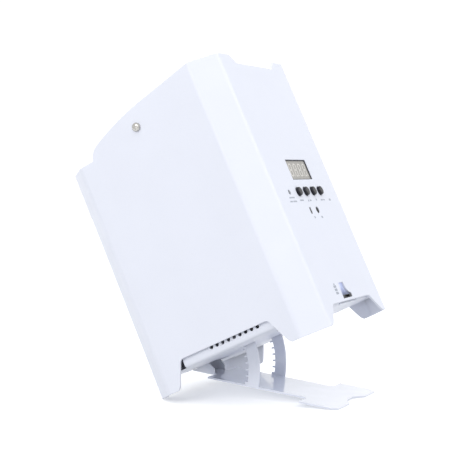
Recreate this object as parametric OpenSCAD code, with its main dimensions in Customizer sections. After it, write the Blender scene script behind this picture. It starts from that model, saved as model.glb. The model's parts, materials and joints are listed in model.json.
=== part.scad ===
// Battery powered wedge uplight: a white sheet steel case with a tilting lamp head opening at the
// top, a control panel on the tall face and a toothed kickstand under the base.
// The body is drawn upright in its own frame (z = 0 at the leg tips, low face towards +Y,
// control panel towards -Y) and posed() leans it onto its front legs and the kickstand's foot.

/* [Case] */
// Width of the case, side panel to side panel
case_w = 122; // [120:1:124]
// Depth of the case, control panel to low face
case_d = 131; // [129:1:133]
// Height of the tall control panel
rear_h = 186.2; // [185:0.1:187]
// Height of the low face
front_h = 160.5; // [160:0.1:161]
// Thickness of the case sheet
wall = 1.5; // [1.4:0.1:1.6]
// Width of the corner facets beside the control panel
rear_cut_x = 13.5; // [12.5:0.5:14]
// Depth of the corner facets beside the control panel
rear_cut_y = 16; // [15:0.5:17]
// Width of the corner facets beside the low face
front_cut_x = 9.8; // [9:0.1:11]
// Depth of the corner facets beside the low face
front_cut_y = 12.6; // [12:0.1:14]
// Height of the leg arches in the side panels
side_arch_h = 18; // [17:0.5:18.5]
// Height of the leg arches in the end panels
end_arch_h = 12.5; // [12:0.1:13]

/* [Kickstand] */
// Angle between the base and the kickstand as it stands
kick_open = 30.8; // [29:0.2:33]
// Largest opening angle of the kickstand
kick_max = 42; // [41:0.5:42]
// Length of the kickstand, hinge to foot
kick_len = 115.5; // [114:0.5:116]
// Width of the kickstand's strip
kick_w = 42; // [41:0.5:43]
// Width of the kickstand's foot
foot_w = 69; // [66:1:70]
// Outer radius of the toothed arcs
arc_outer_r = 54.3; // [53.5:0.1:55]
// Angle between two teeth of an arc
tooth_pitch = 5.5; // [5:0.1:6]

/* [Lamp head] */
// Slope of the lamp head
head_slope = 9.3; // [8:0.1:10]
// Distance between neighbouring lenses
lens_pitch = 36; // [35:0.5:36.5]
// Diameter of a lens
lens_d = 30; // [28:0.5:31]

/* [Control panel] */
// Width of the display
display_w = 30.2; // [28:0.1:31]
// Height of the display
display_h = 14; // [12:0.1:15]
// Diameter of a button
button_d = 6; // [5:0.1:6.4]
// Distance between neighbouring buttons
button_pitch = 11.3; // [10:0.1:12]
// How far a button is pressed in
button_travel = 0.6; // [0.3:0.1:0.7]

/* [Hidden] */
$fn = 48;
eps = 0.01;

// Case
half_w = case_w / 2;
half_d = case_d / 2;
panel_y = -half_d;
inner_y = panel_y + wall;
bend_r = 2.2;
ridge_y = -8;
ridge_r = 190;
ridge_slope = head_slope - 1;
shoulder_y = 34.3;
shoulder_r = 12;
rear_corner_y = -half_d + rear_cut_y;
ridge_z = rear_h - (ridge_y - rear_corner_y) * tan(ridge_slope);
notch_h = 5.6;
notch_half = 26;
notch_run = 7.5;
side_arch_tops = [-32.5, 35.3];
side_arch_feet = [-41.5, 44];
rear_arch_tops = [-33.5, 28];
rear_arch_feet = [-44, 41];
front_arch_tops = [-32, 32];
front_arch_feet = [-43.5, 43.5];
tip_cut = 1.4;

// Screws
screw_d = 2.9;
screw_hole_d = 3.2;
screw_head_d = 5.8;
screw_head_h = 2.2;
sunk_d = 5.2;
sunk_h = 1.05;
side_screw_y = 1.4;
side_screw_z = 166;

// Tray
tray_t = 1.2;
tray_z = 11.6;
tray_top = tray_z + tray_t;
tray_gap = 0.9;
tray_half_x = half_w - wall - tray_gap;
tray_half_y = half_d - wall - tray_gap;
tray_screw_x = half_w - 17.5;
tray_screw_y = half_d - 8.5;
tab_z = tray_top + 0.3;
tab_len = 13;
flange_h = 13;
fold_r = 1.3;
side_flange_len = 80.4;
side_flange_y = -4.8;
vent_d = 2.6;
vent_pitch = 4.45;
vent_count = 9;
vent_y = -5.6;
vent_z = 17.4;

// Kickstand
hinge_y = 55.95;
hinge_z = 15.44;
plate_t = 1.2;
plate_drop = 5.5;
neck_half = 8.5;
neck_start = 14.5;
shoulder_s = 16;
foot_s = 89.5;
eye_r = 2.9;
pin_d = 2.5;
pin_play = 0.05;
arc_root_r = arc_outer_r - 8.2;
tooth_len = 2;
tooth_t = 1.1;
arc_sweep = kick_max + 3;
first_tooth = -asin((plate_drop - 2) / arc_root_r);
bracket_gap = 0.6;
bracket_in = neck_half + bracket_gap;
bracket_out = bracket_in + plate_t;
rivet_x = 17.6;
rivet_y = hinge_y - 2.8;
bracket_top = hinge_z + 4.6;

// Lean of the whole lamp: front leg tips and the kickstand's foot stand on one plane
foot_y = hinge_y - kick_len * cos(kick_open) + (plate_drop + plate_t / 2) * sin(kick_open);
foot_z = hinge_z - kick_len * sin(kick_open) - (plate_drop + plate_t / 2) * cos(kick_open);
lean = atan2(-foot_z, half_d - foot_y);
base_y = -front_h * sin(lean) / 2;
base_z = half_d * sin(lean);

// Lamp head
head_z = side_screw_z - 3.5;
head_plate_t = 1.5;
head_half_x = half_w - wall - 0.8;
head_half_y = 63.4;
head_cut_x = 11.5;
head_cut_y = 15;
rim_h = 8.5;
rim_end = 28;
rim_start = head_half_y - head_cut_y;
board_z = -15;
board_t = 1.6;
sink_base_t = 5;
sink_fin_h = 24;
sink_top = board_z - board_t - 0.1;
fin_count = 13;
fin_t = 2;
board_half_x = 53;
board_half_y = 53;
head_post_x = 18;
head_post_y = 18;

// Control panel
display_x = 1.1;
display_z = 104.5;
button_x0 = -14.4;
button_z = 88.75;
status_x = -28.2;
ir_x = -7.1;
mic_x = 3.9;
sensor_z = 75.3;
ir_w = 2.4;
ir_h = 4.4;
window_play = 0.8;
mic_d = 4.7;
pcb_t = 1.6;
pcb_y = -half_d + 8;
switch_y = inner_y + 2.3 + button_travel;
pcb_half_x = 36;
pcb_low = 66;
pcb_high = 118;
post_x = 32;
post_low = 70;
post_high = 114;

// Battery and driver
battery_y = -25.5;
cell_d = 18.6;
battery_z = tray_top + 0.4;
battery_h = 66;
strap_t = 1.5;
strap_x = 1.5 * cell_d + 0.5;
strap_top = battery_z + battery_h + 0.3;
strap_w = 20;
strap_foot = 12;
driver_z = strap_top + strap_t + 6;
driver_half_x = 44;
driver_half_y = 26;

// Charging recess
scoop_x = -7.2;
scoop_low = 14.2;
scoop_high = 24.8;
scoop_left = 6.4;
scoop_mid = 2.2;
scoop_right = 8.6;
scoop_depth = 7;
socket_x = scoop_x + (scoop_right - scoop_left) / 2;
socket_half = (scoop_right + scoop_left) / 2 - 0.4;
socket_h = 2.2;

// Colours
white = [0.93, 0.94, 0.97];
steel = [0.75, 0.76, 0.78];
black = [0.08, 0.08, 0.09];

function bez(a, b, c, t) = (1 - t) * (1 - t) * a + 2 * t * (1 - t) * b + t * t * c;
function toward(a, b, r) = a + (b - a) * min(0.5, r / norm(b - a));
function soften(p, r, n = 4) = [
    for (i = [0:len(p) - 1])
        let (prev = p[(i + len(p) - 1) % len(p)], next = p[(i + 1) % len(p)])
        for (k = [0:n]) bez(toward(p[i], prev, r), p[i], toward(p[i], next, r), k / n)
];
function mirrored(p) = concat(p, [for (i = [len(p) - 1:-1:0]) [-p[i][0], p[i][1]]]);
function arc_points(cy, cz, r, y_from, y_to, n) = [
    for (k = [0:n]) let (y = y_from + (y_to - y_from) * k / n) [y, cz + sqrt(r * r - (y - cy) * (y - cy))]
];
// Plan of the case, drawn in by a margin all round
function case_plan(inset) = let (x = half_w - inset, y = half_d - inset, k = inset * 0.6) mirrored([
    [x - front_cut_x + k, y],
    [x, y - front_cut_y + k],
    [x, -y + rear_cut_y - k],
    [x - rear_cut_x + k, -y]
]);

// The leaning pose of everything in the upright body frame
module posed() {
    translate([0, base_y, base_z]) rotate([-lean, 0, 0]) children();
}
// A drawing in the control panel's plane, seen from outside, thickness pointing outwards
module on_panel(x, z, depth = 0) {
    translate([x, panel_y + depth, z]) rotate([90, 0, 0]) children();
}
// A profile in the Y-Z plane, extruded along X about the middle
module across(length) {
    rotate([90, 0, 90]) translate([0, 0, -length / 2]) linear_extrude(length) children();
}
// The sloping frame of the lamp head: z = 0 on the face of the lens plate
module on_head() {
    translate([0, 0, head_z]) rotate([-head_slope, 0, 0]) children();
}
// The kickstand's frame: folded flat it lies along the body's axes
module on_kick() {
    translate([0, hinge_y, hinge_z]) rotate([kick_open, 0, 0]) children();
}
// A low dome of radius r and height h standing on z = 0
module dome(r, h) {
    rotate_extrude() polygon(concat([[0, 0]], [for (a = [0:15:90]) [r * cos(a), h * sin(a)]]));
}
// A pan head screw pointing up its own z axis, head below z = 0, with a cross recess
module pan_screw(length) {
    cylinder(h = length, d = screw_d);
    translate([0, 0, -0.9]) cylinder(h = 0.9, d = screw_head_d);
    translate([0, 0, -0.9]) difference() {
        rotate([180, 0, 0]) dome(screw_head_d / 2, screw_head_h - 0.9);
        for (a = [0, 90]) rotate([0, 0, a]) translate([-1.5, -0.4, -3]) cube([3, 0.8, 2.2]);
    }
}
// Points along a smooth run through a wire's route
function route(p, steps = 4) = concat([
    for (i = [0:len(p) - 2])
        let (a = p[max(i - 1, 0)], b = p[i], c = p[i + 1], e = p[min(i + 2, len(p) - 1)])
        for (k = [0:steps - 1]) let (t = k / steps)
            b + t * (c - a) / 2 + t * t * (2 * a - 5 * b + 4 * c - e) / 2
                + t * t * t * (3 * b - a - 3 * c + e) / 2
], [p[len(p) - 1]]);
function wire_ring(p, i, r, sides) = let (
    run = p[min(i + 1, len(p) - 1)] - p[max(i - 1, 0)],
    u = cross(run, [0.31, 0.47, 0.83]) / norm(cross(run, [0.31, 0.47, 0.83])),
    v = cross(run, u) / norm(run)
) [for (k = [0:sides - 1]) p[i] + r * (cos(k * 360 / sides) * u + sin(k * 360 / sides) * v)];
// A round wire swept along a route
module wire(points, d, sides = 8) {
    p = route(points);
    last = len(p) - 1;
    polyhedron([for (i = [0:last]) each wire_ring(p, i, d / 2, sides)], concat(
        [[for (k = [0:sides - 1]) k]],
        [for (i = [0:last - 1], k = [0:sides - 1]) let (n = (k + 1) % sides)
            each [[i * sides + n, i * sides + k, (i + 1) * sides + k],
                [i * sides + n, (i + 1) * sides + k, (i + 1) * sides + n]]],
        [[for (k = [sides - 1:-1:0]) last * sides + k]]
    ));
}

// ---- case ----
// Everything above the side panels' top edge: a straight run, a long bend and a short one
module above_side_edge() {
    long_y = ridge_y - ridge_r * sin(ridge_slope);
    long_z = ridge_z - ridge_r * cos(ridge_slope);
    turn = asin((shoulder_y - long_y) / ridge_r);
    short_y = shoulder_y - shoulder_r * sin(turn);
    short_z = long_z + (ridge_r - shoulder_r) * cos(turn);
    drop_y = short_y + sqrt(shoulder_r * shoulder_r - (front_h - short_z) * (front_h - short_z));
    across(case_w + 10) polygon(concat(
        [[half_d + 5, front_h], [drop_y + 0.05, front_h]],
        arc_points(short_y, short_z, shoulder_r, drop_y, shoulder_y, 9),
        arc_points(long_y, long_z, ridge_r, shoulder_y - 3, ridge_y, 12),
        [[rear_corner_y, rear_h], [-half_d - 5, rear_h], [-half_d - 5, 230], [half_d + 5, 230]]
    ));
}
// An arch between two legs whose tips have their inner corners cut off: where its straight top
// ends and where its sides would meet the ground, each as [left, right]
function arch_side(top, foot, height, out) = [
    [top, height],
    [foot + (top - foot) * tip_cut / height, tip_cut],
    [foot + out * 1.9, -0.4],
    [foot + out * 1.9, -4]
];
module arch(tops, feet, height) {
    left = arch_side(tops[0], feet[0], height, -1);
    right = arch_side(tops[1], feet[1], height, 1);
    polygon(soften(concat(right, [for (i = [3:-1:0]) left[i]]), 2));
}
module casing() {
    color(white) posed() difference() {
        union() {
            difference() {
                linear_extrude(rear_h) polygon(soften(case_plan(0), bend_r));
                translate([0, 0, -1]) linear_extrude(rear_h + 2)
                    polygon(soften(case_plan(wall), bend_r - 0.8));
            }
            intersection() {
                for (x = [-1, 1], y = [-1, 1])
                    translate([x * tray_screw_x, y * (half_d - tab_len / 2), tab_z + wall / 2])
                        cube([8, tab_len, wall], center = true);
                linear_extrude(rear_h) polygon(soften(case_plan(0.7), bend_r - 0.4));
            }
        }
        above_side_edge();
        across(case_w + 10) arch(side_arch_tops, side_arch_feet, side_arch_h);
        rotate([90, 0, 0]) linear_extrude(half_d + 5) arch(rear_arch_tops, rear_arch_feet, end_arch_h);
        rotate([90, 0, 0]) translate([0, 0, -half_d - 5]) linear_extrude(half_d + 5)
            arch(front_arch_tops, front_arch_feet, end_arch_h);
        on_panel(0, rear_h, wall + 1) linear_extrude(wall + 2)
            polygon([[-notch_half, -notch_h], [notch_half, -notch_h], [notch_half + notch_run, 1],
                [-notch_half - notch_run, 1]]);
        on_panel(display_x, display_z, wall + 1) linear_extrude(wall + 2)
            square([display_w + window_play, display_h + 0.2], center = true);
        for (i = [0:3]) on_panel(button_x0 + i * button_pitch, button_z, wall + 1)
            cylinder(h = wall + 2, d = button_d + 0.4);
        on_panel(status_x, button_z, wall + 1) cylinder(h = wall + 2, d = 3.1);
        on_panel(ir_x, sensor_z, wall + 1) linear_extrude(wall + 2) square([ir_w, ir_h], center = true);
        on_panel(mic_x, sensor_z, wall + 1) cylinder(h = wall + 2, d = mic_d);
        on_panel(scoop_x, 0, wall + 1) linear_extrude(wall + 2) scoop_outline();
        for (x = [-1, 1]) translate([x * half_w, side_screw_y, side_screw_z]) rotate([0, 90, 0])
            cylinder(h = 8, d = screw_hole_d, center = true);
        for (x = [-1, 1], y = [-1, 1]) translate([x * tray_screw_x, y * tray_screw_y, tab_z - 1])
            cylinder(h = 4, d = 3);
    }
}
module side_screws() {
    color(steel) posed() for (x = [-1, 1]) translate([x * half_w, side_screw_y, side_screw_z])
        rotate([0, -90 * x, 0]) pan_screw(7);
}

// ---- base tray ----
module vent_row() {
    for (i = [0:vent_count - 1]) translate([0, vent_y + (i - (vent_count - 1) / 2) * vent_pitch, vent_z])
        rotate([0, 90, 0]) cylinder(h = case_w + 4, d = vent_d, center = true);
}
// A flange bent up from the tray's edge: the edge is at x = 0 and the floor lies towards -x
module flange(length) {
    translate([0, length / 2, 0]) rotate([90, 0, 0]) linear_extrude(length) difference() {
        polygon(soften([[0, 0], [0, flange_h], [-tray_t, flange_h], [-4, 4], [-4, 0]], 2.4, 6));
        polygon(concat([[-tray_t, flange_h + 1]],
            [for (a = [0:15:90]) [-tray_t - fold_r * (1 - cos(a)), tray_t + fold_r * (1 - sin(a))]],
            [[-6, tray_t], [-6, flange_h + 1]]));
        translate([-8, -1]) square([4.6, 30]);
    }
}
module base_tray() {
    color(white) posed() difference() {
        union() {
            translate([0, 0, tray_z]) linear_extrude(tray_t) polygon([
                [36, tray_half_y - 3], [48, tray_half_y - 3], [tray_half_x - 3, 46], [tray_half_x - 3, -46],
                [47, -tray_half_y + 3], [-47, -tray_half_y + 3], [-tray_half_x + 3, -46],
                [-tray_half_x + 3, 46], [-48, tray_half_y - 3], [-36, tray_half_y - 3]]);
            for (x = [0, 1]) mirror([x, 0, 0]) translate([tray_half_x, side_flange_y, tray_z])
                flange(side_flange_len);
            for (x = [-1, 1]) translate([x * 26, tray_half_y, tray_z]) rotate([0, 0, 90]) flange(24);
            translate([24, -tray_half_y, tray_z]) rotate([0, 0, -90]) flange(26);
            translate([-27.5, -tray_half_y, tray_z]) rotate([0, 0, -90]) flange(19);
            translate([-16.5, -tray_half_y + 0.4, tray_z]) cube([26, 4, tray_t]);
        }
        vent_row();
        translate([-11, hinge_y - neck_start - 0.7, tray_z - 1]) cube([22, 40, 4]);
        translate([-13.4, hinge_y - 3.4, tray_z - 1]) cube([26.8, 20, 4]);
        for (x = [-1, 1])
            translate([x * (kick_w / 2 - plate_t / 2) - 1.8, hinge_y - arc_outer_r - 0.6, tray_z - 1])
                cube([3.6, arc_outer_r - arc_root_r + tooth_len + 1.8, 4]);
        for (x = [-1, 1], y = [-1, 1]) translate([x * tray_screw_x, y * tray_screw_y, tray_z]) {
            translate([0, 0, -1]) cylinder(h = 4, d = screw_hole_d);
            translate([0, 0, -eps]) cylinder(h = sunk_h, d1 = sunk_d + 0.3, d2 = screw_hole_d);
        }
        for (x = [-1, 1]) translate([x * rivet_x, rivet_y, tray_z - 1]) cylinder(h = 4, d = 2.5);
        for (x = [-1, 1]) translate([x * (strap_x + strap_t + strap_foot / 2), battery_y, tray_z - 1])
            cylinder(h = 4, d = 3);
    }
}
module tray_screws() {
    color(steel) posed() for (x = [-1, 1], y = [-1, 1])
        translate([x * tray_screw_x, y * tray_screw_y, tray_z + 0.05]) difference() {
            union() {
                cylinder(h = 6.8, d = screw_d);
                cylinder(h = sunk_h - 0.1, d1 = sunk_d, d2 = screw_d);
            }
            for (a = [0, 90]) rotate([0, 0, a]) translate([-1.4, -0.35, -1]) cube([2.8, 0.7, 1.7]);
        }
}

// ---- hinge and kickstand ----
module hinge_bracket() {
    color(steel) posed() difference() {
        union() {
            for (x = [-1, 1]) translate([x * (bracket_in + plate_t / 2), hinge_y, 0]) across(plate_t)
                union() {
                    translate([0, hinge_z]) circle(r = eye_r);
                    translate([-7.5, tray_top + 0.05])
                        square([11.5, bracket_top + plate_t - tray_top - 0.05]);
                }
            translate([-bracket_out, hinge_y - 7.5, bracket_top]) cube([2 * bracket_out, 11.5, plate_t]);
            for (x = [0, 1]) mirror([x, 0, 0]) translate([0, hinge_y, tray_top + 0.05])
                linear_extrude(plate_t)
                    polygon([[bracket_in + 0.5, -7.5], [21.5, -7.5], [21.5, 1.8], [14, 1.8], [14, -3.2],
                        [bracket_in + 0.5, -3.2]]);
        }
        translate([0, hinge_y, hinge_z]) rotate([0, 90, 0])
            cylinder(h = 60, d = pin_d + 2 * pin_play, center = true);
        for (x = [-1, 1]) translate([x * rivet_x, rivet_y, tray_z]) cylinder(h = 6, d = 2.5);
    }
}
module bracket_rivets() {
    color(steel) posed() for (x = [-1, 1]) translate([x * rivet_x, rivet_y, 0]) {
        translate([0, 0, tray_z]) cylinder(h = tray_t + plate_t + 0.05, d = 2.4);
        translate([0, 0, tray_z - 0.6]) cylinder(h = 0.6, d = 4.2);
        translate([0, 0, tray_top + plate_t + 0.05]) cylinder(h = 0.8, d = 3.8);
    }
}
module hinge_pin() {
    color(steel) posed() translate([0, hinge_y, hinge_z]) rotate([0, 90, 0]) difference() {
        union() {
            translate([0, 0, -bracket_out - 0.1]) cylinder(h = 2 * bracket_out + 2.6, d = pin_d);
            translate([0, 0, -bracket_out - 1.6]) cylinder(h = 1.5, d = 4.4);
        }
        translate([0, 0, bracket_out + 0.2]) difference() {
            cylinder(h = 0.8, d = 6);
            translate([0, 0, -1]) cylinder(h = 3, d = 1.8);
        }
    }
}
module pin_clip() {
    color(steel) posed() translate([bracket_out + 0.3, hinge_y, hinge_z]) rotate([0, 90, 0])
        linear_extrude(0.6) difference() {
            circle(d = 5);
            circle(d = 1.9);
            translate([0, -0.85]) square([4, 1.7]);
        }
}
module toothed_arc() {
    across(plate_t) {
        intersection() {
            difference() {
                circle(r = arc_outer_r, $fn = 180);
                circle(r = arc_root_r, $fn = 180);
            }
            polygon([[0, -plate_drop], [-80, -plate_drop], [-80, 80 * tan(arc_sweep)], [0, 0]]);
        }
        for (k = [0:floor((arc_sweep - first_tooth - 2) / tooth_pitch)])
            rotate(-(first_tooth + k * tooth_pitch)) translate([-arc_root_r - 0.6, -tooth_t / 2])
                square([tooth_len + 0.6, tooth_t]);
        translate([-arc_root_r - 1, -plate_drop]) square([tooth_len + 1, 1.8]);
    }
}
module kick_ear() {
    across(plate_t) difference() {
        union() {
            circle(r = eye_r);
            polygon([[-neck_start, -plate_drop - plate_t / 2], [-neck_start + 0.8, -1.6], [-9.5, 1.6],
                [-4.5, 2.2], [0, eye_r], [eye_r, 0], [3.2, -plate_drop + 1.2],
                [2.4, -plate_drop - plate_t / 2]]);
        }
        circle(d = pin_d + 2 * pin_play);
    }
}
// Plan of the kickstand: x across, y towards the foot
function kick_plan() = mirrored([
    [5, kick_len - 5.2], [13.7, kick_len], [foot_w / 2 - 3, kick_len], [foot_w / 2, kick_len - 3.5],
    [foot_w / 2, foot_s], [kick_w / 2 + 3, foot_s], [kick_w / 2, foot_s - 2], [kick_w / 2, shoulder_s],
    [neck_half, shoulder_s + 0.5], [neck_half, -2]
]);
module kickstand() {
    color(white) posed() on_kick() {
        translate([0, 0, -plate_drop - plate_t / 2]) rotate([0, 0, 180]) linear_extrude(plate_t)
            polygon(kick_plan());
        for (x = [-1, 1]) {
            translate([x * (kick_w - plate_t) / 2, 0, 0]) toothed_arc();
            translate([x * (neck_half - plate_t / 2), 0, 0]) kick_ear();
        }
    }
}

// ---- lamp head ----
function head_plan(m) = let (x = head_half_x - m, y = head_half_y - m) [
    [x - head_cut_x, y], [x, y - head_cut_y], [x, -y + head_cut_y], [x - head_cut_x, -y],
    [-x + head_cut_x, -y], [-x, -y + head_cut_y], [-x, y - head_cut_y], [-x + head_cut_x, y]
];
module lens_grid() {
    for (i = [-1:1], j = [-1:1]) translate([i * lens_pitch, j * lens_pitch, 0]) children();
}
module head_posts() {
    for (i = [-1, 1], j = [-1, 1]) translate([i * head_post_x, j * head_post_y, 0]) children();
}
module lens_plate() {
    color(black) posed() difference() {
        on_head() difference() {
            union() {
                translate([0, 0, -head_plate_t]) linear_extrude(head_plate_t) polygon(head_plan(0));
                for (x = [-1, 1])
                    translate([x * (head_half_x - head_plate_t / 2), (rim_end - rim_start) / 2,
                        rim_h / 2 - head_plate_t])
                            cube([head_plate_t, rim_end + rim_start, rim_h], center = true);
                for (y = [-1, 1])
                    translate([0, y * (head_half_y - head_plate_t / 2), rim_h / 2 - head_plate_t])
                        cube([2 * (head_half_x - head_cut_x), head_plate_t, rim_h], center = true);
            }
            lens_grid() translate([0, 0, -3]) cylinder(h = 6, d = lens_d + 0.6, $fn = 64);
            head_posts() translate([0, 0, -3]) cylinder(h = 6, d = screw_hole_d);
        }
        translate([0, side_screw_y, side_screw_z]) rotate([0, 90, 0])
            cylinder(h = case_w + 4, d = 3, center = true);
    }
}
module lenses() {
    color([0.85, 0.9, 0.95, 0.6]) posed() on_head() lens_grid() {
        translate([0, 0, -2.6]) cylinder(h = 2.9, d = lens_d, $fn = 64);
        translate([0, 0, -12.2]) cylinder(h = 9.6, d1 = 12, d2 = lens_d - 3, $fn = 64);
    }
}
module lens_holders() {
    color(black) posed() on_head() lens_grid() translate([0, 0, -14]) difference() {
        cylinder(h = 12.2, d = lens_d + 2.6, $fn = 64);
        translate([0, 0, 11.2]) cylinder(h = 3, d = lens_d + 0.3, $fn = 64);
        translate([0, 0, 1.6]) cylinder(h = 9.7, d1 = 12.6, d2 = lens_d - 1.6, $fn = 64);
        translate([0, 0, -1]) cylinder(h = 3, d = 9);
    }
}
module led_board() {
    color([0.9, 0.9, 0.88]) posed() on_head() difference() {
        translate([-board_half_x, -board_half_y, board_z - board_t])
            cube([2 * board_half_x, 2 * board_half_y, board_t]);
        head_posts() translate([0, 0, board_z - 3]) cylinder(h = 6, d = 6.2);
    }
}
module led_emitters() {
    color([0.95, 0.85, 0.4]) posed() on_head() lens_grid() translate([0, 0, board_z + 0.05]) {
        translate([-2.6, -2.6, 0]) cube([5.2, 5.2, 0.7]);
        translate([0, 0, 0.7]) dome(2.2, 0.9);
    }
}
module heat_sink() {
    color(steel) posed() on_head() difference() {
        union() {
            translate([-board_half_x, -board_half_y, sink_top - sink_base_t])
                cube([2 * board_half_x, 2 * board_half_y, sink_base_t]);
            for (i = [0:fin_count - 1])
                translate([(i - (fin_count - 1) / 2) * 8 - fin_t / 2, -board_half_y,
                    sink_top - sink_base_t - sink_fin_h]) cube([fin_t, 2 * board_half_y, sink_fin_h + 1]);
        }
        head_posts() translate([0, 0, sink_top - 4]) cylinder(h = 6, d = 3);
    }
}
module head_standoffs() {
    color(steel) posed() on_head() head_posts() difference() {
        translate([0, 0, sink_top]) cylinder(h = -sink_top - head_plate_t, d = 5.6, $fn = 6);
        translate([0, 0, -8]) cylinder(h = 10, d = 3);
    }
}
module head_screws() {
    color(steel) posed() on_head() head_posts() rotate([180, 0, 0]) pan_screw(7);
}

// ---- battery and driver ----
module battery_pack() {
    color([0.1, 0.35, 0.6]) posed() translate([0, battery_y, battery_z]) linear_extrude(battery_h) {
        for (i = [-1:1], j = [-0.5, 0.5]) translate([i * cell_d, j * cell_d]) circle(d = cell_d);
        square([2 * cell_d, 2 * cell_d - 1], center = true);
        square([3 * cell_d - 1, cell_d], center = true);
    }
}
module battery_strap() {
    color(steel) posed() translate([0, battery_y, 0]) difference() {
        union() {
            translate([-strap_x - strap_t, -strap_w / 2, strap_top])
                cube([2 * (strap_x + strap_t), strap_w, strap_t]);
            for (x = [-1, 1]) {
                translate([x * (strap_x + strap_t / 2), 0, (tray_top + 0.05 + strap_top + strap_t) / 2])
                    cube([strap_t, strap_w, strap_top + strap_t - tray_top - 0.05], center = true);
                translate([x * (strap_x + (strap_t + strap_foot) / 2), 0, tray_top + 0.05 + strap_t / 2])
                    cube([strap_t + strap_foot, strap_w, strap_t], center = true);
            }
        }
        for (x = [-1, 1]) translate([x * (strap_x + strap_t + strap_foot / 2), 0, tray_top - 1])
            cylinder(h = 4, d = screw_hole_d);
        driver_posts() translate([0, -battery_y, strap_top - 1]) cylinder(h = 4, d = 3);
    }
}
module strap_screws() {
    color(steel) posed() for (x = [-1, 1])
        translate([x * (strap_x + strap_t + strap_foot / 2), battery_y, tray_top + 0.05 + strap_t])
            rotate([180, 0, 0]) pan_screw(3.4);
}
module driver_posts() {
    for (x = [-1, 1], y = [-1, 1]) translate([x * 22, battery_y + y * 7, 0]) children();
}
module driver_standoffs() {
    color(steel) posed() driver_posts() {
        translate([0, 0, strap_top + strap_t]) cylinder(h = 6, d = 5.6, $fn = 6);
        translate([0, 0, strap_top]) cylinder(h = strap_t + 1, d = 2.9);
        translate([0, 0, driver_z - 1]) cylinder(h = pcb_t + 1, d = 2.9);
        translate([0, 0, driver_z + pcb_t]) cylinder(h = 2, d = 5.4);
    }
}
module driver_board() {
    color([0.05, 0.3, 0.15]) posed() difference() {
        translate([-driver_half_x, battery_y - driver_half_y, driver_z])
            cube([2 * driver_half_x, 2 * driver_half_y, pcb_t]);
        driver_posts() translate([0, 0, driver_z - 1]) cylinder(h = 4, d = screw_hole_d);
    }
}
module driver_parts() {
    color(black) posed() translate([0, battery_y, driver_z + pcb_t]) {
        for (i = [-1:1]) translate([i * 24, 18.5, 0]) difference() {
            cylinder(h = 7, d = 14);
            translate([0, 0, 4]) cylinder(h = 4, d = 6);
        }
        for (i = [0:3]) translate([-30 + i * 20, -17, 0]) cylinder(h = 11, d = 8);
        for (x = [-1, 1]) translate([x * 38, 0, 3]) cube([6, 16, 6], center = true);
    }
}

// ---- control panel ----
module panel_posts() {
    for (x = [-1, 1], z = [post_low, post_high])
        translate([x * post_x, pcb_y, z]) rotate([90, 0, 0]) children();
}
module control_board() {
    color([0.05, 0.3, 0.15]) posed() difference() {
        translate([-pcb_half_x, pcb_y, pcb_low]) cube([2 * pcb_half_x, pcb_t, pcb_high - pcb_low]);
        panel_posts() translate([0, 0, -3]) cylinder(h = 6, d = screw_hole_d);
    }
}
module control_standoffs() {
    color(steel) posed() panel_posts() difference() {
        cylinder(h = pcb_y - inner_y, d = 5.6, $fn = 6);
        translate([0, 0, -1]) cylinder(h = 5.5, d = 3);
    }
}
module control_screws() {
    color(steel) posed() panel_posts() translate([0, 0, -pcb_t]) pan_screw(5);
}
module display_module() {
    color([0.2, 0.2, 0.2]) posed() translate([display_x, 0, display_z]) {
        translate([-display_w / 2 - 0.6, inner_y + 0.2, -display_h / 2 - 0.6])
            cube([display_w + 1.2, pcb_y - inner_y - 0.25, display_h + 1.2]);
    }
}
// A round cap with a domed face, a collar behind the panel and a stem onto its switch
module button_cap(i) {
    color(black) posed() on_panel(button_x0 + i * button_pitch, button_z) {
        translate([0, 0, -wall - 0.4]) cylinder(h = wall + 1.6, d = button_d);
        translate([0, 0, 1.2 - eps]) cylinder(h = 0.6, d1 = button_d, d2 = button_d - 1.4);
        translate([0, 0, -wall - 1.3]) cylinder(h = 1, d = button_d + 1.8);
        translate([0, 0, -wall - 2.1]) cylinder(h = 1, d = 3.4);
    }
}
module button_1() button_cap(0);
module button_2() button_cap(1);
module button_3() button_cap(2);
module button_4() button_cap(3);
module tact_switches() {
    color([0.3, 0.3, 0.32]) posed() for (i = [0:3])
        translate([button_x0 + i * button_pitch - 3, switch_y, button_z - 3])
            cube([6, pcb_y - switch_y - 0.05, 6]);
}
module status_led() {
    color([0.7, 0.72, 0.75]) posed() on_panel(status_x, button_z) {
        translate([0, 0, -wall - 3]) cylinder(h = wall + 3.2, d = 2.9);
        translate([0, 0, -7.9]) cylinder(h = 4, d = 3.8);
    }
}
module ir_receiver() {
    color(black) posed() on_panel(ir_x, sensor_z) {
        translate([0, 0, -7]) linear_extrude(6.8 - wall) square([5, 6.6], center = true);
        translate([0, 0, -wall - 1]) linear_extrude(wall + 0.8)
            square([ir_w - 0.2, ir_h - 0.2], center = true);
    }
}
module mic_capsule() {
    color(black) posed() on_panel(mic_x, sensor_z, wall) {
        translate([0, 0, -6.4]) cylinder(h = 6.2, d = 5.6);
        translate([0, 0, -0.3]) cylinder(h = wall - 0.1, d = mic_d - 0.2);
    }
}
module radio_module() {
    color([0.1, 0.25, 0.5]) posed() translate([-22, pcb_y + pcb_t + 0.05, 78]) {
        cube([26, 1, 17]);
        translate([4, 0.9, 3]) cube([14, 2.4, 11]);
    }
}

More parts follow.
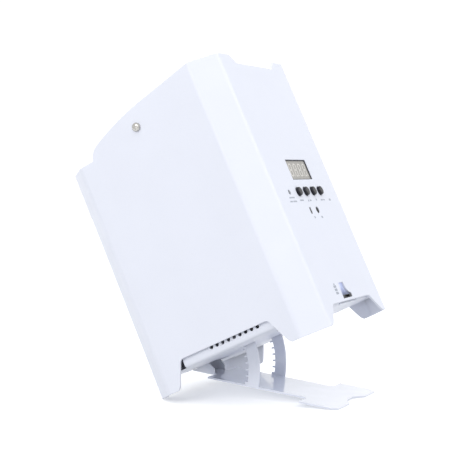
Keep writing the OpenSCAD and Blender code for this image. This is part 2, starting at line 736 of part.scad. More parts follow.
// ---- charging recess ----
module scoop_outline() {
    polygon(concat([[-scoop_left, scoop_low], [scoop_right, scoop_low]],
        [for (t = [0:0.125:1]) bez([scoop_right, scoop_low + 2.6], [scoop_mid - 0.2, scoop_low + 3.7],
            [scoop_mid, scoop_high], t)],
        [[1.2 - scoop_left, scoop_high]]));
}
module charge_scoop() {
    color(white) posed() difference() {
        translate([scoop_x - scoop_left - 1.6, inner_y + 0.15, scoop_low - 0.6])
            cube([scoop_left + scoop_right + 3.2, scoop_depth, scoop_high - scoop_low + 2.4]);
        intersection() {
            on_panel(scoop_x, 0, scoop_depth) linear_extrude(20) scoop_outline();
            across(60) difference() {
                translate([panel_y - 2, scoop_low - 2]) square([wall + scoop_depth, scoop_high]);
                translate([panel_y + scoop_depth + 6, scoop_high + 3]) circle(r = 11.5, $fn = 90);
            }
        }
        translate([socket_x - socket_half - 0.3, inner_y, scoop_low - 1])
            cube([2 * socket_half + 0.6, 20, socket_h + 1.4]);
    }
}
module charge_socket() {
    color(black) posed() translate([socket_x, 0, 0]) difference() {
        translate([-socket_half, panel_y + 0.3, scoop_low + 0.2]) cube([2 * socket_half, 13, socket_h]);
        translate([-3.6, panel_y - 1, scoop_low + 0.2 + (socket_h - 1.3) / 2]) cube([7.2, 7, 1.3]);
    }
}

// ---- wiring ----
module battery_lead() {
    color([0.7, 0.1, 0.1]) posed() wire([[10, -5.8, 68], [10, -4.6, 76], [12, 3.4, 86],
        [20, 5, 97], [30, -2, 101], [36, -12, 99], [38, -22, 96.2]], 2.4);
}
module lamp_lead() {
    color([0.15, 0.15, 0.15]) posed() wire([[-38, -18, 98], [-45, -6, 101], [-51, 12, 108],
        [-56.6, 26, 122], [-56.9, 30, 136], [-56, 24, 144], [-51, 18, 146.2]], 2.4);
}
module panel_lead() {
    color([0.75, 0.75, 0.72]) posed() wire([[10, pcb_y + 3, 72], [12, -50, 74], [18, -52.8, 80],
        [22, -52.8, 88], [24, -50, 93], [24, -48, 93.4]], 2);
}

casing();
base_tray();
tray_screws();
hinge_bracket();
bracket_rivets();
kickstand();
hinge_pin();
pin_clip();
side_screws();
lens_plate();
lenses();
lens_holders();
led_board();
led_emitters();
heat_sink();
head_standoffs();
head_screws();
battery_pack();
battery_strap();
strap_screws();
driver_board();
driver_parts();
driver_standoffs();
control_board();
control_standoffs();
control_screws();
display_module();
button_1();
button_2();
button_3();
button_4();
tact_switches();
status_led();
ir_receiver();
mic_capsule();
radio_module();
charge_scoop();
charge_socket();
battery_lead();
lamp_lead();
panel_lead();
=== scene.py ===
"""Looks of a battery-powered wedge uplight that stands on its toothed kickstand.

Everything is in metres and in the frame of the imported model. The lamp itself is described upright, in
the case's own frame in millimetres, and case_space() leans it over as it stands.
"""

import json
import math

import bmesh
import bpy
from mathutils import Matrix, Vector


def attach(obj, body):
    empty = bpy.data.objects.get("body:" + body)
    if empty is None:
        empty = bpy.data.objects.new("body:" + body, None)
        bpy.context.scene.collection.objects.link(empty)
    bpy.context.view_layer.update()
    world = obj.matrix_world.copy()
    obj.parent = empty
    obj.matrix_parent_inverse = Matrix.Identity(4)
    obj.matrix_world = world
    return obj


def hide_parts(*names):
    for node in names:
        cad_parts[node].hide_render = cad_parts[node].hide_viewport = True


MM = 0.001

# Camera
CAMERA_AT = Vector((-0.6989, -0.3654, 0.1494))
CAMERA_AIM = Vector((-0.0093, -0.0032, 0.1096))
CAMERA_ROLL = math.radians(-0.25)
CAMERA_LENS = 91.07

# Case frame, millimetres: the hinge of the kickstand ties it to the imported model
HINGE_Y, HINGE_Z = 55.95, 15.44
PANEL_Y = -65.5

# Lamp head
HEAD_Z = 162.5
HEAD_SLOPE = math.radians(9.3)
LENS_PITCH = 36.0
LENS_R = 15.0

# Control panel
DISPLAY_X, DISPLAY_Z = 1.1, 104.5
DISPLAY_W, DISPLAY_H = 31.0, 14.2
DISPLAY_FACE = -0.85
DIGIT_W, DIGIT_H, DIGIT_PITCH, DIGIT_LEAN = 4.7, 9.2, 7.15, math.tan(math.radians(8))
SEGMENT_T = 1.05
BUTTON_X0, BUTTON_PITCH, BUTTON_Z = -14.4, 11.3, 88.75
STATUS_X = -28.2
MIC_X, SENSOR_Z = 3.9, 75.3
SOCKET_X, SOCKET_Z = -6.1, 15.5
PRINT_LOW, PRINT_HIGH = 0.005, 0.03

# Rounding and welding of edges
WELD = 5e-5
FLAT_ANGLE = math.radians(0.6)

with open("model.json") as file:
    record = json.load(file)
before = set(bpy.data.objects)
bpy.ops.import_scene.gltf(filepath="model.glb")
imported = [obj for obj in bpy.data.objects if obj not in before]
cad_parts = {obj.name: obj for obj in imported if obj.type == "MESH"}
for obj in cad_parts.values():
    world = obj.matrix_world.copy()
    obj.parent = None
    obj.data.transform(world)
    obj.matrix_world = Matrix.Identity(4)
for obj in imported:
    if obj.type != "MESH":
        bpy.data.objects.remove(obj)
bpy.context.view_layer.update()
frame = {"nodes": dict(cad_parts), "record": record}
JOINTS = {j["name"]: j for j in frame["record"]["behaviour"]["joints"]}


def case_space():
    """The case's leaning frame as a matrix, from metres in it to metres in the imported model's frame."""
    press = JOINTS["button_1_press"]["axis"]
    lean = Matrix.Rotation(-math.atan2(-press[2], press[1]), 4, "X")
    hinge = Vector(JOINTS["kickstand_hinge"]["pos_m"])
    return Matrix.Translation(hinge - lean @ Vector((0, HINGE_Y * MM, HINGE_Z * MM))) @ lean


CASE = case_space()


def on_panel(x, z, depth=0.0):
    """A place on the control panel: local z points out of the panel, local y up along it."""
    at = Matrix.Translation(Vector((x, PANEL_Y + depth, z)) * MM)
    return CASE @ at @ Matrix.Rotation(math.pi / 2, 4, "X")


def on_head(x=0.0, y=0.0, z=0.0):
    """A place on the lamp head: local z points out of the lens plate, whose face is at z = 0."""
    head = Matrix.Translation((0, 0, HEAD_Z * MM)) @ Matrix.Rotation(-HEAD_SLOPE, 4, "X")
    return CASE @ head @ Matrix.Translation(Vector((x, y, z)) * MM)


# ---- camera ----
def make_camera():
    camera = bpy.data.objects.new("camera", bpy.data.cameras.new("camera"))
    bpy.context.scene.collection.objects.link(camera)
    camera.data.lens = CAMERA_LENS
    camera.data.sensor_width = 36.0
    camera.data.clip_start = 0.01
    camera.data.clip_end = 50.0
    aim = (CAMERA_AIM - CAMERA_AT).to_track_quat("-Z", "Y").to_matrix().to_4x4()
    camera.matrix_world = Matrix.Translation(CAMERA_AT) @ aim @ Matrix.Rotation(CAMERA_ROLL, 4, "Z")
    bpy.context.scene.camera = camera


make_camera()


# ---- materials ----
class Finish:
    """A material under construction: a Principled shader and short ways to wire textures into it."""

    def __init__(self, name, colour, roughness, metallic=0.0, **sockets):
        self.material = bpy.data.materials.new(name)
        self.material.use_nodes = True
        self.tree = self.material.node_tree
        self.shader = self.tree.nodes["Principled BSDF"]
        look = {"Base Color": (*colour, 1.0), "Roughness": roughness, "Metallic": metallic}
        self.set(self.shader, {**look, **sockets})
        self.place = self.tree.nodes.new("ShaderNodeTexCoord").outputs["Object"]

    @staticmethod
    def set(node, values):
        for socket, value in values.items():
            node.inputs[socket].default_value = value

    def link(self, source, target):
        self.tree.links.new(source, target)

    def stretched(self, scale):
        """The object's coordinates, scaled by a different amount along each axis of the case."""
        node = self.tree.nodes.new("ShaderNodeMapping")
        node.inputs["Scale"].default_value = scale
        self.link(self.place, node.inputs["Vector"])
        return node.outputs["Vector"]

    def noise(self, scale, detail=3.0, roughness=0.5, place=None):
        node = self.tree.nodes.new("ShaderNodeTexNoise")
        self.set(node, {"Scale": scale, "Detail": detail, "Roughness": roughness})
        self.link(place or self.place, node.inputs["Vector"])
        return node.outputs["Fac"]

    def cells(self, scale, feature="F1", output="Distance"):
        node = self.tree.nodes.new("ShaderNodeTexVoronoi")
        node.feature = feature
        node.inputs["Scale"].default_value = scale
        self.link(self.place, node.inputs["Vector"])
        return node.outputs[output]

    def mapped(self, source, low, high, out_low, out_high):
        node = self.tree.nodes.new("ShaderNodeMapRange")
        self.set(node, {"From Min": low, "From Max": high, "To Min": out_low, "To Max": out_high})
        self.link(source, node.inputs["Value"])
        return node.outputs["Result"]

    def tint(self, factor, other):
        """Blends the colour so far with another one by a factor."""
        node = self.tree.nodes.new("ShaderNodeMix")
        node.data_type = "RGBA"
        base = self.shader.inputs["Base Color"]
        if base.is_linked:
            self.link(base.links[0].from_socket, node.inputs["A"])
        else:
            node.inputs["A"].default_value = base.default_value[:]
        node.inputs["B"].default_value = (*other, 1.0)
        self.link(factor, node.inputs["Factor"])
        self.link(node.outputs["Result"], base)
        return self

    def rough(self, source, low, high, spread=(0.35, 0.65)):
        self.link(self.mapped(source, *spread, low, high), self.shader.inputs["Roughness"])
        return self

    def bump(self, height, strength, depth):
        """Adds relief; depth is in metres. Called again it adds a second relief on top of the first."""
        node = self.tree.nodes.new("ShaderNodeBump")
        self.set(node, {"Strength": strength, "Distance": depth})
        self.link(height, node.inputs["Height"])
        normal = self.shader.inputs["Normal"]
        if normal.is_linked:
            self.link(normal.links[0].from_socket, node.inputs["Normal"])
        self.link(node.outputs["Normal"], normal)
        return self


def shade(colour, k):
    return tuple(c * k for c in colour)


def powder_coat(name, colour, roughness, peel, coat=0.0):
    """Baked powder coat: orange peel, a faint cloudiness and a little dust in fine specks."""
    f = Finish(name, colour, roughness, **{"Coat Weight": coat, "Coat Roughness": 0.03})
    f.tint(f.mapped(f.noise(22, 4), 0.35, 0.75, 0.0, 0.5), shade(colour, 0.955))
    f.tint(f.mapped(f.noise(1400, 1), 0.6, 0.8, 0.0, 0.35), shade(colour, 0.9))
    f.rough(f.noise(60, 5), roughness - 0.05, roughness + 0.07)
    f.bump(f.noise(430, 2), peel, 0.00012)
    f.bump(f.noise(2300, 1), peel * 0.35, 0.00004)
    return f.material


def zinc_plate(name, colour):
    """Zinc plated steel: spangle cells of slightly different brightness with fine scratches."""
    f = Finish(name, colour, 0.34, 1.0)
    f.tint(f.cells(260, output="Color"), shade(colour, 0.82))
    f.rough(f.noise(500, 4), 0.27, 0.45)
    f.bump(f.noise(90, 6, 0.7, f.stretched((1, 22, 6))), 0.12, 0.00005)
    return f.material


def nickel_plate(name, colour):
    """Nickel plate: bright, with duller patches."""
    f = Finish(name, colour, 0.24, 1.0)
    f.tint(f.mapped(f.noise(350, 5), 0.45, 0.7, 0.0, 0.6), shade(colour, 0.72))
    f.rough(f.noise(900, 4), 0.2, 0.38)
    f.bump(f.noise(1500, 3), 0.1, 0.00003)
    return f.material


def moulded(name, colour, roughness, grain=700, depth=0.00005, **sockets):
    """Moulded plastic: fine mould grain and slightly uneven gloss."""
    f = Finish(name, colour, roughness, **sockets)
    f.tint(f.mapped(f.noise(45, 4), 0.4, 0.7, 0.0, 0.6), shade(colour, 0.86))
    f.rough(f.noise(120, 4), roughness - 0.04, roughness + 0.08)
    f.bump(f.noise(grain, 3), 0.25, depth)
    return f.material


def clear_acrylic(name):
    """Clear moulded acrylic with faint flow lines."""
    f = Finish(name, (0.965, 0.98, 1.0), 0.04, **{"Transmission Weight": 1.0, "IOR": 1.49})
    f.rough(f.noise(160, 3), 0.02, 0.09)
    f.bump(f.noise(120, 2), 0.06, 0.00005)
    return f.material


def circuit_board(name, colour):
    """Solder mask over copper tracks: the tracks stand out a little lighter and higher."""
    f = Finish(name, colour, 0.35, **{"Coat Weight": 0.3, "Coat Roughness": 0.2})
    tracks = f.mapped(f.cells(240, "DISTANCE_TO_EDGE"), 0.02, 0.1, 1.0, 0.0)
    f.tint(tracks, tuple(min(1.0, c * 1.9 + 0.01) for c in colour))
    f.rough(f.noise(300, 3), 0.28, 0.42)
    f.bump(tracks, 0.4, 0.00004)
    return f.material


def extruded_aluminium(name, colour):
    """Bare extruded aluminium, streaked along the way it was drawn."""
    f = Finish(name, colour, 0.36, 1.0)
    streaks = f.noise(500, 4, 0.6, f.stretched((3, 0.12, 3)))
    f.tint(f.mapped(streaks, 0.4, 0.7, 0.0, 0.7), shade(colour, 0.8))
    f.rough(streaks, 0.28, 0.46)
    f.bump(streaks, 0.2, 0.00004)
    return f.material


def shrink_film(name, colour):
    """Shrink film over the cells: glossy, with shallow wrinkles."""
    f = Finish(name, colour, 0.22, **{"Coat Weight": 0.5, "Coat Roughness": 0.1})
    wrinkles = f.noise(70, 5, 0.65, f.stretched((1, 1, 0.3)))
    f.tint(f.mapped(wrinkles, 0.4, 0.7, 0.0, 0.5), shade(colour, 0.7))
    f.rough(f.noise(140, 3), 0.16, 0.32)
    f.bump(wrinkles, 0.5, 0.0003)
    return f.material


def insulation(name, colour):
    """Wire insulation: a soft sheen with faint draw lines."""
    f = Finish(name, colour, 0.4)
    f.tint(f.mapped(f.noise(300, 3), 0.4, 0.7, 0.0, 0.5), shade(colour, 0.75))
    f.rough(f.noise(500, 3), 0.34, 0.5)
    f.bump(f.noise(1200, 2), 0.15, 0.00003)
    return f.material


def studio_floor(name, colour, glow):
    """A pale floor that glows a little, so that the ground stays white to the horizon."""
    f = Finish(name, colour, 0.75, **{"Emission Color": (1, 1, 1, 1), "Emission Strength": glow})
    f.tint(f.mapped(f.noise(3, 3), 0.4, 0.7, 0.0, 0.4), shade(colour, 0.99))
    f.rough(f.noise(8, 3), 0.7, 0.8)
    f.bump(f.noise(300, 2), 0.02, 0.0001)
    return f.material


COAT_WHITE = (0.775, 0.800, 0.890)
MATERIALS = {
    "white_coat": powder_coat("white_powder_coat", COAT_WHITE, 0.4, 0.16),
    "gloss_white_coat": powder_coat("gloss_white_coat", (0.755, 0.785, 0.885), 0.2, 0.02, coat=1.0),
    "nickel_screw": nickel_plate("nickel_plate", (0.46, 0.45, 0.43)),
    "zinc_steel": zinc_plate("zinc_plate", (0.70, 0.71, 0.73)),
    "black_coat": powder_coat("black_powder_coat", (0.022, 0.022, 0.025), 0.5, 0.5),
    "clear_lens": clear_acrylic("clear_acrylic"),
    "black_plastic": moulded("black_plastic", (0.02, 0.02, 0.023), 0.42),
    "led_board_white": moulded("white_solder_mask", (0.80, 0.80, 0.78), 0.4),
    "led_yellow": moulded("phosphor", (0.80, 0.60, 0.10), 0.3, **{"Coat Weight": 0.8}),
    "raw_aluminium": extruded_aluminium("extruded_aluminium", (0.78, 0.79, 0.80)),
    "battery_wrap": shrink_film("shrink_film", (0.05, 0.18, 0.42)),
    "green_board": circuit_board("green_circuit_board", (0.02, 0.15, 0.06)),
    "blue_board": circuit_board("blue_circuit_board", (0.02, 0.07, 0.24)),
    "display_grey": moulded("display_face", (0.34, 0.325, 0.298), 0.3, **{"Coat Weight": 0.4}),
    "button_black": moulded(
        "button_plastic", (0.006, 0.006, 0.012), 0.14, 900, 0.00002, **{"Specular IOR Level": 0.32}
    ),
    "led_lamp_grey": moulded("diffused_lamp", (0.30, 0.32, 0.36), 0.25, **{"Transmission Weight": 0.25}),
    "red_wire": insulation("red_insulation", (0.45, 0.02, 0.02)),
    "black_wire": insulation("black_insulation", (0.03, 0.03, 0.03)),
    "white_wire": insulation("white_insulation", (0.70, 0.70, 0.67)),
}
SEGMENT_PALE = moulded("display_segments", (0.66, 0.64, 0.60), 0.35)
PRINT_GREY = moulded("grey_print", (0.42, 0.45, 0.52), 0.5)
CERAMIC_WHITE = moulded("emitter_ceramic", (0.85, 0.85, 0.83), 0.35)
GASKET = moulded("display_gasket", (0.05, 0.052, 0.065), 0.6)
# Painted light: a small glow, though the recess is no lamp, and a base colour bluer than the case's white
# paint the bright blue the recess shows in the shade
RECESS_PAINTED_GLOW = moulded(
    "recess_painted_glow", (0.76, 0.80, 0.97), 0.3,
    **{"Emission Color": (0.62, 0.70, 1.0, 1.0), "Emission Strength": 0.27},
)


# ---- building pieces ----
def new_object(name, bm, material, smooth_angle=35.0):
    mesh = bpy.data.meshes.new(name)
    bm.normal_update()
    bm.to_mesh(mesh)
    bm.free()
    mesh.materials.append(material)
    mesh.shade_smooth()
    mesh.set_sharp_from_angle(angle=math.radians(smooth_angle))
    obj = bpy.data.objects.new(name, mesh)
    bpy.context.scene.collection.objects.link(obj)
    return obj


def settle(obj, body, node=()):
    """Ties a finished piece to its body and hides the CAD nodes it stands for."""
    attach(obj, body)
    if node:
        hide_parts(*([node] if isinstance(node, str) else node))
    return obj


def apply_modifiers(obj):
    """Turns the modified shape into the object's own mesh."""
    depsgraph = bpy.context.evaluated_depsgraph_get()
    mesh = bpy.data.meshes.new_from_object(obj.evaluated_get(depsgraph))
    obj.modifiers.clear()
    obj.data = mesh
    return obj


def rounded(obj, width, segments=2, angle=30.0):
    """Rounds every edge sharper than an angle; width is in millimetres."""
    bevel = obj.modifiers.new("bevel", "BEVEL")
    bevel.width = width * MM
    bevel.segments = segments
    bevel.limit_method = "ANGLE"
    bevel.angle_limit = math.radians(angle)
    bevel.use_clamp_overlap = False
    bevel.miter_outer = "MITER_ARC"
    flat = obj.modifiers.new("flat_faces", "WEIGHTED_NORMAL")
    flat.weight = 100
    flat.keep_sharp = True
    return apply_modifiers(obj)


def finished(node, body, slot, edge, segments=2, angle=30.0):
    """The shape of a CAD node as one clean mesh of flat faces, with its edges rounded.

    Corners closer together than WELD metres become one corner.
    """
    bm = bmesh.new()
    bm.from_mesh(frame["nodes"][node].data)
    bmesh.ops.remove_doubles(bm, verts=bm.verts, dist=WELD)
    bmesh.ops.dissolve_limit(bm, angle_limit=FLAT_ANGLE, verts=bm.verts, edges=bm.edges)
    obj = new_object(node + "_finished", bm, MATERIALS[slot])
    return settle(rounded(obj, edge, segments, angle), body, node)


def add_lathe(bm, profile, matrix, steps=48):
    """Turns a profile of (radius, height) points, in millimetres, round the local z axis."""
    rings = []
    for r, z in profile:
        if r < 1e-6:
            rings.append([bm.verts.new(matrix @ Vector((0, 0, z * MM)))])
            continue
        turn = [2 * math.pi * k / steps for k in range(steps)]
        ring = [Vector((r * MM * math.cos(a), r * MM * math.sin(a), z * MM)) for a in turn]
        rings.append([bm.verts.new(matrix @ point) for point in ring])
    for low, high in zip(rings, rings[1:]):
        for k in range(steps):
            n = (k + 1) % steps
            if len(low) == 1:
                bm.faces.new((low[0], high[n], high[k]))
            elif len(high) == 1:
                bm.faces.new((low[k], low[n], high[0]))
            else:
                bm.faces.new((low[k], low[n], high[n], high[k]))


def arc(cx, cz, r, start, end, count=6):
    """Points of a circular arc in a profile, angles in degrees."""
    turn = [math.radians(start + (end - start) * k / count) for k in range(count + 1)]
    return [(cx + r * math.cos(a), cz + r * math.sin(a)) for a in turn]


def add_prism(bm, outline, matrix, low, high):
    """A flat plate over an outline of (x, y) points, from one height to another, in millimetres."""
    bottom = [bm.verts.new(matrix @ (Vector((x, y, low)) * MM)) for x, y in outline]
    top = [bm.verts.new(matrix @ (Vector((x, y, high)) * MM)) for x, y in outline]
    bm.faces.new(bottom[::-1])
    bm.faces.new(top)
    for k in range(len(outline)):
        n = (k + 1) % len(outline)
        bm.faces.new((bottom[k], bottom[n], top[n], top[k]))


def rounded_bar(cx, cy, w, h, r, steps=4):
    """Outline of a bar with round corners."""
    r = min(r, w / 2 - 1e-4, h / 2 - 1e-4)
    dx, dy = w / 2 - r, h / 2 - r
    points = []
    for x, y, start in ((dx, dy, 0), (-dx, dy, 90), (-dx, -dy, 180), (dx, -dy, 270)):
        points += [(cx + px, cy + py) for px, py in arc(x, y, r, start, start + 90, steps)]
    return points


# ---- sheet metal and fasteners: CAD node, finish, width of the rounded edges, steps of the rounding ----
for node, slot, edge, segments in (
    ("casing", "white_coat", 0.28, 3),
    ("base_tray", "white_coat", 0.2, 2),
    ("lens_plate", "black_coat", 0.22, 2),
    ("hinge_bracket", "zinc_steel", 0.12, 2),
    ("bracket_rivets", "zinc_steel", 0.1, 2),
    ("hinge_pin", "zinc_steel", 0.1, 2),
    ("pin_clip", "zinc_steel", 0.06, 2),
    ("tray_screws", "nickel_screw", 0.07, 2),
    ("side_screws", "nickel_screw", 0.07, 2),
    ("head_screws", "nickel_screw", 0.07, 2),
    ("charge_socket", "black_plastic", 0.1, 2),
):
    finished(node, "body", slot, edge, segments)
finished("kickstand", "stand", "gloss_white_coat", 0.14, 2)
# The charge scoop takes the recess material, whose glow and bluer white are painted light and painted
# shade
finished("charge_scoop", "body", "white_coat", 0.12, 2).data.materials[0] = RECESS_PAINTED_GLOW


# ---- lamp head ----
LENS_SPOTS = [(i * LENS_PITCH, j * LENS_PITCH) for j in (-1, 0, 1) for i in (-1, 0, 1)]
PEBBLE, PEBBLE_R, PEBBLE_HEIGHT = 1.75, 12.6, 0.045
LENS_RINGS, LENS_STEPS = 30, 96


def pebbled_lens(bm, matrix):
    """A collimating lens: a conical body, a flat brim and a front of hexagonal pebbles."""
    brim = arc(LENS_R - 0.35, -0.15, 0.3, 0, 90, 4)
    cone = [(3.9, -12.0), (6.0, -12.1), (13.3, -2.8), (LENS_R - 0.1, -2.5)]
    add_lathe(bm, cone + brim + [(PEBBLE_R, 0.15)], matrix, 64)
    add_lathe(bm, [(0, -8.6), (2.2, -9.0), (3.2, -9.9), (3.9, -12.0)], matrix, 64)
    grid = []
    for ring in range(LENS_RINGS + 1):
        r = PEBBLE_R * ring / LENS_RINGS
        fade = min(1.0, (PEBBLE_R - r) / 0.8)
        row = []
        for k in range(LENS_STEPS if ring else 1):
            a = 2 * math.pi * k / LENS_STEPS
            x, y = r * math.cos(a), r * math.sin(a)
            across = [x * math.cos(t) + y * math.sin(t) for t in (0, math.pi / 3, 2 * math.pi / 3)]
            waves = sum(math.cos(2 * math.pi / PEBBLE * d) for d in across)
            height = 0.15 - 0.13 * fade + PEBBLE_HEIGHT * waves * fade
            row.append(bm.verts.new(matrix @ (Vector((x, y, height)) * MM)))
        grid.append(row)
    for k in range(LENS_STEPS):
        bm.faces.new((grid[0][0], grid[1][k], grid[1][(k + 1) % LENS_STEPS]))
    for low, high in zip(grid[1:], grid[2:]):
        for k in range(LENS_STEPS):
            n = (k + 1) % LENS_STEPS
            bm.faces.new((low[k], high[k], high[n], low[n]))


def make_lenses():
    bm = bmesh.new()
    for x, y in LENS_SPOTS:
        pebbled_lens(bm, on_head(x, y))
    bmesh.ops.remove_doubles(bm, verts=bm.verts, dist=1e-7)
    bmesh.ops.recalc_face_normals(bm, faces=bm.faces)
    settle(new_object("lenses_pebbled", bm, MATERIALS["clear_lens"], 50), "body", "lenses")


def make_emitters():
    """Each emitter is a white ceramic base with four coloured dies under a clear dome."""
    base, dies, domes = bmesh.new(), bmesh.new(), bmesh.new()
    crown = [(2.2 * math.cos(a), 0.7 + 0.85 * math.sin(a)) for a in (0.3, 0.6, 0.9, 1.2, 1.4)]
    for x, y in LENS_SPOTS:
        at = on_head(x, y, -14.95)
        add_prism(base, rounded_bar(0, 0, 5.2, 5.2, 0.4), at, 0, 0.55)
        for dx in (-0.75, 0.75):
            for dy in (-0.75, 0.75):
                add_prism(dies, rounded_bar(dx, dy, 1.1, 1.1, 0.1), at, 0.55, 0.68)
        add_lathe(domes, [(2.2, 0.7)] + crown + [(0, 1.56)], at, 32)
    settle(new_object("emitter_bases", base, CERAMIC_WHITE), "body", "led_emitters")
    settle(new_object("emitter_dies", dies, MATERIALS["led_yellow"]), "body")
    settle(new_object("emitter_domes", domes, MATERIALS["clear_lens"]), "body")


make_lenses()
make_emitters()


# ---- control panel ----
def segment_bars(w, h, t):
    """Outlines of a seven-segment digit, w wide and h tall, with bars t thick, about its middle."""
    def bar(x, y, length, upright):
        p, k = length / 2 - 0.12, t / 2
        points = [(-p, 0), (-p + k, k), (p - k, k), (p, 0), (p - k, -k), (-p + k, -k)]
        return [(x + (-b if upright else a), y + (a if upright else b)) for a, b in points]
    side, level = w / 2 - t / 2, h / 2 - t / 2
    flat = [bar(0, y, w - t, False) for y in (-level, 0, level)]
    tall = [bar(x, y, level, True) for x in (-side, side) for y in (-level / 2, level / 2)]
    return flat + tall


def make_display():
    """Black lining of the window, grey face, and four digits of unlit segments."""
    lining, face, digits = bmesh.new(), bmesh.new(), bmesh.new()
    at = on_panel(DISPLAY_X, DISPLAY_Z)
    w, h, rim = DISPLAY_W / 2 - 0.05, DISPLAY_H / 2 - 0.05, 0.35
    sides = [(-w, -w + rim, -h, h), (w - rim, w, -h, h)]
    sides += [(-w + rim, w - rim, h - rim, h), (-w + rim, w - rim, -h, -h + rim)]
    for x0, x1, y0, y1 in sides:
        add_prism(lining, [(x0, y0), (x1, y0), (x1, y1), (x0, y1)], at, -6.2, -0.25)
    add_prism(face, rounded_bar(0, 0, DISPLAY_W - 0.8, DISPLAY_H - 0.8, 0.3), at, -6.0, DISPLAY_FACE)
    low, high = DISPLAY_FACE, DISPLAY_FACE + 0.06
    dot_x, dot_y = 3.3 - 4.1 * DIGIT_LEAN, -4.1
    for k in range(4):
        cx = (k - 1.5) * DIGIT_PITCH - 0.3
        for outline in segment_bars(DIGIT_W, DIGIT_H, SEGMENT_T):
            add_prism(digits, [(cx + x + y * DIGIT_LEAN, y) for x, y in outline], at, low, high)
        add_prism(digits, arc(cx + dot_x, dot_y, 0.5, 0, 337.5, 15), at, low, high)
    lining = rounded(new_object("display_lining", lining, GASKET), 0.06)
    face = rounded(new_object("display_face", face, MATERIALS["display_grey"]), 0.08)
    settle(lining, "body", "display_module")
    settle(face, "body")
    settle(new_object("display_digits", digits, SEGMENT_PALE), "body")


def make_buttons():
    """Glossy caps with a rounded crown, a collar behind the panel and a stem."""
    stem = [(0, -3.6), (1.7, -3.6), (1.7, -2.75)]
    collar = [(3.85, -2.75), (3.9, -2.65), (3.9, -1.85), (3.0, -1.85)]
    crown = arc(2.35, 1.15, 0.65, 0, 78, 7)[1:] + [(1.6, 1.795), (0.8, 1.80), (0, 1.80)]
    profile = stem + collar + [(3.0, 1.15)] + crown
    for k in range(4):
        bm = bmesh.new()
        add_lathe(bm, profile, on_panel(BUTTON_X0 + k * BUTTON_PITCH, BUTTON_Z), 64)
        node = f"button_{k + 1}"
        cap = new_object(node + "_cap", bm, MATERIALS["button_black"], 40)
        settle(cap, f"cap_{k + 1}", node)


def make_status_lamp():
    """A small round lamp whose crown stands just out of the panel."""
    bm = bmesh.new()
    barrel = [(0, -7.9), (1.85, -7.9), (1.9, -7.8), (1.9, -3.9), (1.45, -3.9)]
    crown = [(1.45 * math.cos(a), 0.2 * math.sin(a)) for a in (0.0, 0.3, 0.6, 0.9, 1.2)]
    add_lathe(bm, barrel + crown + [(0, 0.2)], on_panel(STATUS_X, BUTTON_Z), 40)
    settle(new_object("status_lamp", bm, MATERIALS["led_lamp_grey"]), "body", "status_led")


def make_microphone():
    """A dark capsule behind the panel, with a raised rim round its slightly hollow face."""
    bm = bmesh.new()
    barrel = [(0, -6.4), (2.7, -6.4), (2.8, -6.3), (2.8, -0.3), (2.2, -0.3)]
    face = [(2.2, 0.95), (2.1, 1.05), (1.9, 0.85), (0, 0.75)]
    add_lathe(bm, barrel + face, on_panel(MIC_X, SENSOR_Z, 1.5), 48)
    settle(new_object("microphone", bm, MATERIALS["black_plastic"]), "body", "mic_capsule")


def make_print():
    """Grey printed marks beside the controls: plain bars, two arrows and a stack of bars by the recess."""
    bm = bmesh.new()

    def bar(x, z, w, h, r):
        add_prism(bm, rounded_bar(0, 0, w, h, r), on_panel(x, z), PRINT_LOW, PRINT_HIGH)

    under_lamp = [(-27.9, 84.9, 8.0, 1.0), (-31.0, 82.2, 3.8, 1.0), (-25.6, 82.2, 5.6, 1.0)]
    under_buttons = [(-14.6, 82.7, 5.6, 1.0), (-1.2, 82.3, 2.6, 1.0)]
    under_buttons += [(17.2, 82.2, 3.8, 1.0), (20.9, 82.2, 2.2, 1.0)]
    beside = [(30.5, 82.0, 3.0, 1.5), (-5.4, 70.4, 1.7, 1.6), (6.0, 70.1, 2.3, 1.6)]
    for x, z, w, h in under_lamp + under_buttons + beside:
        bar(x, z, w, h, 0.3)
    for x, z, up in ((-4.6, 82.4, 1), (8.4, 82.4, -1)):
        arrow = [(-1.3, -0.8 * up), (1.3, -0.8 * up), (0, 0.9 * up)]
        add_prism(bm, arrow[::up], on_panel(x, z), PRINT_LOW, PRINT_HIGH)
    for z in (18.6, 20.8, 23.0):
        bar(-20.2, z, 4.0, 1.7, 0.2)
    bar(-20.2, 24.6, 1.9, 0.9, 0.2)
    settle(new_object("panel_print", bm, PRINT_GREY), "body")


def make_socket_tongue():
    """The contact tongue inside the charging socket."""
    bm = bmesh.new()
    at = CASE @ Matrix.Translation(Vector((SOCKET_X, PANEL_Y + 3.0, SOCKET_Z)) * MM)
    add_prism(bm, rounded_bar(0, 0, 5.4, 2.6, 0.3), at, -0.25, 0.25)
    tongue = rounded(new_object("socket_tongue", bm, MATERIALS["black_plastic"]), 0.05)
    settle(tongue, "body")


make_display()
make_buttons()
make_status_lamp()
make_microphone()
make_print()
make_socket_tongue()


# ---- parts inside the case keep their CAD shape ----
for subpart in frame["record"]["subparts"]:
    mesh = frame["nodes"][subpart["node"]].data
    mesh.materials.clear()
    mesh.materials.append(MATERIALS[subpart["material_slot"]])


# ---- stage ----
DOME_R = 2900.0
LIGHT_AIM = Vector((0, 0, 0.1))


def make_floor():
    """The ground, out to where the backdrop begins. Diffuse light doesn't bounce off it."""
    bm = bmesh.new()
    add_lathe(bm, [(3000, 0), (2000, 0), (900, 0), (0, 0)], Matrix.Identity(4), 96)
    bmesh.ops.recalc_face_normals(bm, faces=bm.faces)
    floor = new_object("floor", bm, studio_floor("studio_floor", (0.93, 0.935, 0.94), 0.2))
    floor.visible_diffuse = False


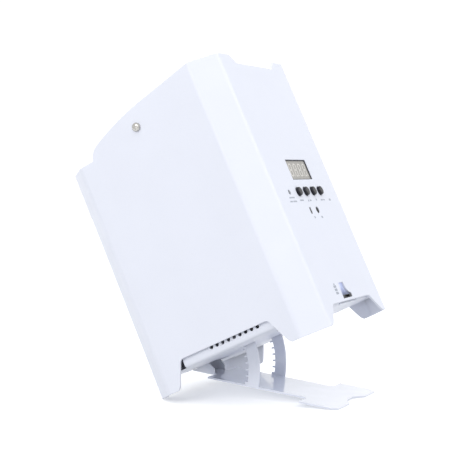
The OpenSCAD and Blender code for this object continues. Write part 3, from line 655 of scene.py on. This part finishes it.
def make_backdrop():
    """A white dome round the studio, seen only by the camera and in reflections."""
    bm = bmesh.new()
    turn = [math.radians(a) for a in range(-3, 90, 3)]
    wall = [(DOME_R * math.cos(a), DOME_R * math.sin(a)) for a in turn]
    add_lathe(bm, wall + [(0, DOME_R)], Matrix.Identity(4), 96)
    material = bpy.data.materials.new("backdrop_white")
    material.use_nodes = True
    shader = material.node_tree.nodes["Principled BSDF"]
    look = {"Base Color": (0, 0, 0, 1), "Emission Color": (1, 1, 1, 1), "Emission Strength": 1.02}
    Finish.set(shader, look)
    dome = new_object("backdrop", bm, material)
    for way in ("diffuse", "transmission", "shadow"):
        setattr(dome, "visible_" + way, False)


def softbox(name, at, size, power, colour):
    """A large soft light aimed at the middle of the lamp."""
    light = bpy.data.lights.new(name, "AREA")
    light.shape = "RECTANGLE"
    light.size, light.size_y = size
    light.energy = power
    light.color = colour
    obj = bpy.data.objects.new(name, light)
    bpy.context.scene.collection.objects.link(obj)
    obj.location = at
    obj.rotation_mode = "QUATERNION"
    obj.rotation_quaternion = (LIGHT_AIM - Vector(at)).to_track_quat("-Z", "Y")
    obj.visible_camera = False


def make_world(colour, strength):
    world = bpy.data.worlds.new("studio")
    bpy.context.scene.world = world
    world.use_nodes = True
    background = world.node_tree.nodes["Background"]
    background.inputs["Color"].default_value = (*colour, 1.0)
    background.inputs["Strength"].default_value = strength


def sky_sun(name, towards, strength, spread):
    """Very soft light from overhead, the same over the whole floor."""
    sun = bpy.data.lights.new(name, "SUN")
    sun.energy = strength
    sun.angle = math.radians(spread)
    obj = bpy.data.objects.new(name, sun)
    bpy.context.scene.collection.objects.link(obj)
    obj.rotation_mode = "QUATERNION"
    obj.rotation_quaternion = Vector(towards).to_track_quat("-Z", "Y")


make_floor()
make_backdrop()
make_world((0.965, 0.98, 1.0), 0.69)
sky_sun("ceiling", (0.1, 0.1, -1.0), 0.90, 60)
softbox("key_light", (-1.9, 0.3, 1.0), (1.3, 0.9), 16.0, (1.0, 0.99, 0.98))
softbox("front_light", (0.2, -1.6, 1.55), (1.5, 1.0), 11.0, (0.99, 0.99, 1.0))
softbox("back_light", (0.6, 2.0, 0.9), (1.2, 0.9), 6.0, (0.97, 0.98, 1.0))
softbox("far_side_light", (1.8, 0.35, 1.7), (1.1, 0.9), 9.0, (0.97, 0.98, 1.0))
bpy.context.scene.view_settings.view_transform = "Standard"
